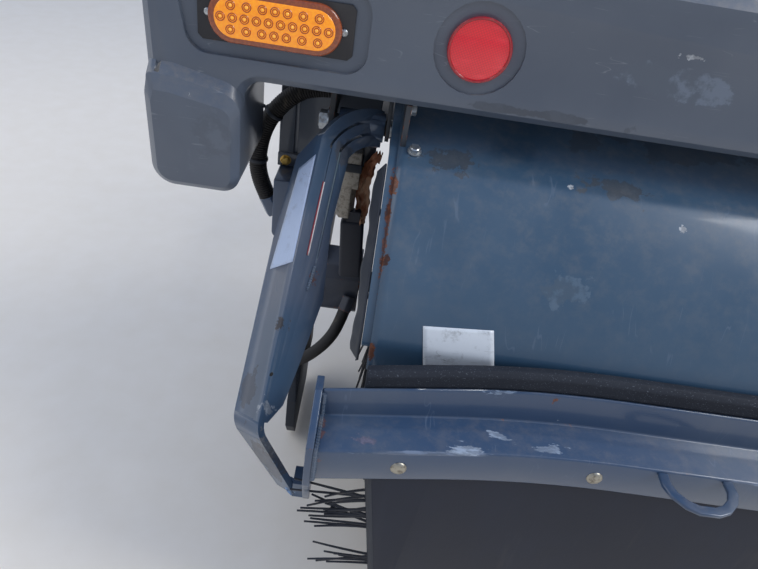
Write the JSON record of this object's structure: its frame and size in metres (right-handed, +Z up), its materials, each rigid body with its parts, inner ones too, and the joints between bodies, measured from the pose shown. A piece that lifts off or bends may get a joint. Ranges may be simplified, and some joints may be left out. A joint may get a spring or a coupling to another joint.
{
  "type": "street sweeper rear broom assembly",
  "caption": "Rear end of a street sweeper: moulded bumper with lamps, hood, lifting rear door on gooseneck arms, and a driven main broom on trailing arms.",
  "frame": {"origin": "centre of the front plate's face, which bolts to the vehicle's chassis", "axes": "+X to the vehicle's right, +Y forward, +Z up"},
  "size_m": [2.1682, 1.207, 1.083],
  "materials": {
    "steel_paint": "glossy blue-grey enamel with rust at the edges",
    "frame_paint": "dusty dark grey paint",
    "core_paint": "satin black paint",
    "bumper_moulding": "satin charcoal blue moulded shell with scuffs",
    "lamp_backing": "matt black plate",
    "amber_lens": "clear amber lens over small round lights",
    "red_lens": "prismatic red reflector",
    "black_rubber": "worn black rubber",
    "cast_housing": "dusty black casting",
    "bristle_plastic": "stiff black strip bristle",
    "polished_rod": "hard chrome"
  },
  "bodies": {
    "root": {"chassis_plate": "frame_paint", "frame_rail_left": "frame_paint", "frame_rail_right": "frame_paint", "rear_cross_member": "frame_paint", "lift_cross_tube": "frame_paint", "bumper_shell": "bumper_moulding", "bumper_bracket_left": "frame_paint", "bumper_bracket_right": "frame_paint", "lamp_plate_left": "lamp_backing", "lamp_plate_right": "lamp_backing", "signal_lamp_left": "amber_lens", "signal_lamp_right": "amber_lens", "reflector_left": "red_lens", "reflector_right": "red_lens", "door_bracket_left": "steel_paint", "door_bracket_right": "steel_paint", "side_panel_left": "steel_paint", "side_panel_right": "steel_paint", "hood_panel": "steel_paint", "hood_end_left": "steel_paint", "hood_end_right": "steel_paint", "hood_hanger_left": "steel_paint", "hood_hanger_right": "steel_paint", "carrier_bracket_left": "frame_paint", "carrier_bracket_right": "frame_paint", "junction_box": "steel_paint", "valve_block": "cast_housing", "hose_loom": "black_rubber"},
    "rear_door": {"swing_arm_left": "steel_paint", "swing_arm_right": "steel_paint", "door_beam": "steel_paint", "end_plate_left": "steel_paint", "end_plate_right": "steel_paint", "handle_left": "steel_paint", "handle_right": "steel_paint", "seal_strip": "black_rubber", "rubber_flap": "black_rubber"},
    "broom_carrier": {"pivot_tube": "steel_paint", "trailing_arm_left": "steel_paint", "trailing_arm_right": "steel_paint", "broom_motor": "cast_housing", "broom_bearing": "cast_housing", "drag_shoe_left": "black_rubber", "drag_shoe_right": "black_rubber", "motor_hose": "black_rubber"},
    "broom": {"broom_core": "core_paint", "bristle_rows": "bristle_plastic"},
    "cylinder_body": {"lift_barrel": "core_paint"},
    "cylinder_rod": {"lift_rod": "polished_rod"}
  },
  "joints": [
    {"name": "door_swing", "type": "hinge", "parent": "root", "child": "rear_door", "pos_m": [0, -0.79, -0.197], "axis": [-1, 0, 0], "range_deg": [0, 45]},
    {"name": "broom_lift", "type": "hinge", "parent": "root", "child": "broom_carrier", "pos_m": [0, -0.1, -0.43], "axis": [-1, 0, 0], "range_deg": [-3, 6]},
    {"name": "broom_spin", "type": "hinge", "parent": "broom_carrier", "child": "broom", "pos_m": [0, -0.641, -0.598], "axis": [1, 0, 0], "continuous": true},
    {"name": "barrel_tilt", "type": "hinge", "parent": "root", "child": "cylinder_body", "pos_m": [0, -0.236, -0.03], "axis": [1, 0, 0], "range_deg": [-3, 3]},
    {"name": "rod_slide", "type": "slide", "parent": "cylinder_body", "child": "cylinder_rod", "axis": [0, 0, 1], "range_m": [-0.012, 0.02]}
  ],
  "couplings": [
    {"joint": "barrel_tilt", "follows": "broom_lift", "ratio": 0.149},
    {"joint": "rod_slide", "follows": "broom_lift", "m_per_rad": 0.136}
  ]
}
